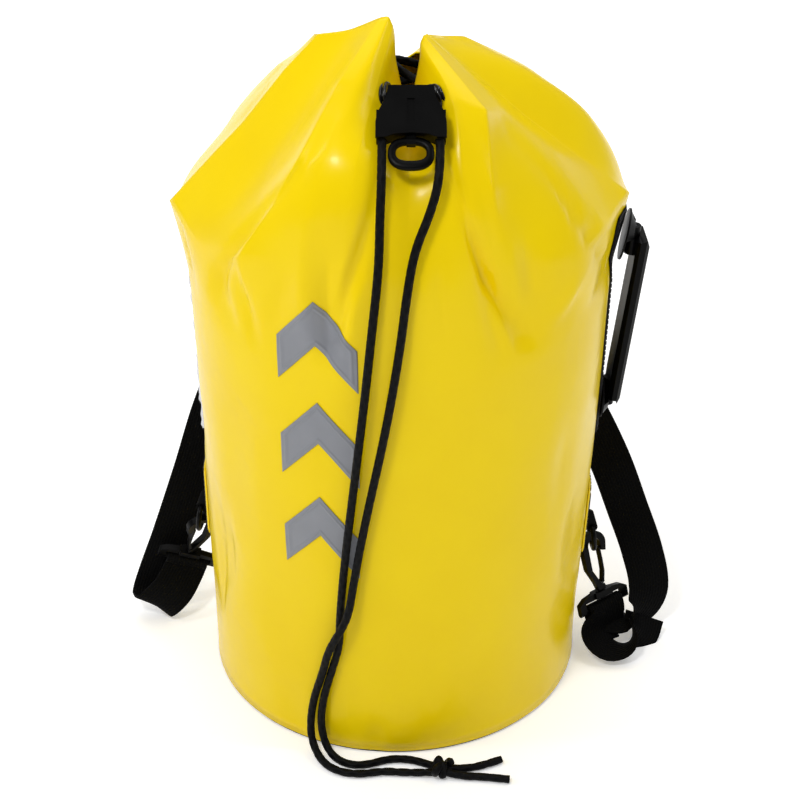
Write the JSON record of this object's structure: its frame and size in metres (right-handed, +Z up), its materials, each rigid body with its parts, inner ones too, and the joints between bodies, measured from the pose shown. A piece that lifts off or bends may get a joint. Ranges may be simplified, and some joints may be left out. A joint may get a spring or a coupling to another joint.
{
  "type": "duffel bag",
  "caption": "Upright drawstring duffel of glossy coated tarpaulin with a gathered neck, cord lock, side carry handle and two hooked shoulder straps.",
  "frame": {"origin": "middle of the base on the ground", "axes": "+Z up; the front with the chevrons and the cord lock faces -Y; the carry handle is at +X"},
  "size_m": [0.371, 0.2892, 0.4621],
  "materials": {
    "tarpaulin": "smooth glossy coated tarpaulin",
    "base": "matt black coated panel",
    "eyelet": "black lacquered metal",
    "reflective": "grey reflective film with an embossed edge",
    "pad": "pale grey air mesh",
    "patch": "black welded reinforcement",
    "moulding": "black acetal, satin",
    "spring": "drawn wire",
    "cord": "braided polyester cord",
    "webbing": "woven polypropylene webbing",
    "pin": "darkened steel"
  },
  "bodies": {
    "bag": {"bag_body": "tarpaulin", "base_panel": "base", "eyelets": "eyelet", "eyelet_washers": "eyelet", "chevron_upper": "reflective", "chevron_middle": "reflective", "chevron_lower": "reflective", "back_pad": "pad", "handle_patch": "patch", "ring_patch_right": "tarpaulin", "ring_patch_left": "tarpaulin", "strap_anchor": "patch", "drawcord_loop": "cord", "cord_knot": "cord", "cord_tail_left": "cord", "cord_tail_right": "cord", "cord_end_a": "cord", "cord_end_b": "cord", "handle_mount_lower": "moulding", "handle_mount_upper": "moulding", "handle_pin_lower": "pin", "handle_pin_upper": "pin", "strap_right": "webbing", "hook_base_right": "moulding", "ring_tab_right": "webbing", "strap_left": "webbing", "hook_base_left": "moulding", "ring_tab_left": "webbing"},
    "lock": {"lock_housing": "moulding", "lock_spring": "spring"},
    "release": {"lock_slider": "moulding"},
    "handle": {"handle_grip": "moulding"},
    "ring_right": {"d_ring_right": "moulding"},
    "clip_right": {"hook_right": "moulding"},
    "catch_right": {"gate_right": "moulding"},
    "slide_right": {"adjuster_right": "moulding"},
    "ring_left": {"d_ring_left": "moulding"},
    "clip_left": {"hook_left": "moulding"},
    "catch_left": {"gate_left": "moulding"},
    "slide_left": {"adjuster_left": "moulding"}
  },
  "joints": [
    {"name": "lock_slide", "type": "slide", "parent": "bag", "child": "lock", "axis": [-0.04, -0.7649, -0.6429], "range_m": [0, 0.007]},
    {"name": "lock_release", "type": "slide", "parent": "lock", "child": "release", "axis": [-0.04, -0.7649, -0.6429], "range_m": [0, 0.005], "stiffness_N_per_m": 300, "springref_m": -0.002, "deforming": ["lock_spring"]},
    {"name": "handle_swing", "type": "hinge", "parent": "bag", "child": "handle", "pos_m": [0.13529, 0, 0.1897], "axis": [0.0844, -0.0055, 0.9964], "range_deg": [-18, 18]},
    {"name": "ring_hinge_right", "type": "hinge", "parent": "bag", "child": "ring_right", "pos_m": [0.12937, 0.00314, 0.0887], "axis": [-0.024, 0.9997, 0], "range_deg": [-1.5, 2]},
    {"name": "hook_swivel_right", "type": "hinge", "parent": "bag", "child": "clip_right", "pos_m": [0.1399, -0.00728, 0.02738], "axis": [-0.1904, 0.2405, 0.9518], "range_deg": [0, 6]},
    {"name": "gate_right", "type": "hinge", "parent": "clip_right", "child": "catch_right", "pos_m": [0.13862, -0.00206, 0.04324], "axis": [0.5142, -0.8015, 0.3053], "range_deg": [0, 15], "stiffness_Nm_per_rad": 0.01, "springref_deg": -5.73},
    {"name": "adjuster_slide_right", "type": "slide", "parent": "bag", "child": "slide_right", "axis": [-0.4512, 0.1808, 0.8739], "range_m": [-0.003, 0.007]},
    {"name": "ring_hinge_left", "type": "hinge", "parent": "bag", "child": "ring_left", "pos_m": [-0.12582, 0.02193, 0.10093], "axis": [-0.1699, -0.9855, 0], "range_deg": [0, 1.5]},
    {"name": "hook_swivel_left", "type": "hinge", "parent": "bag", "child": "clip_left", "pos_m": [-0.14028, 0.03884, 0.04251], "axis": [0.266, -0.3771, 0.8872], "range_deg": [-0.8, 0.8]},
    {"name": "gate_left", "type": "hinge", "parent": "clip_left", "child": "catch_left", "pos_m": [-0.13791, 0.03167, 0.05745], "axis": [-0.3237, 0.8319, 0.4507], "range_deg": [0, 15], "stiffness_Nm_per_rad": 0.01, "springref_deg": -5.73},
    {"name": "adjuster_slide_left", "type": "slide", "parent": "bag", "child": "slide_left", "axis": [0.4512, 0.1808, 0.8739], "range_m": [-0.007, 0.007]}
  ]
}
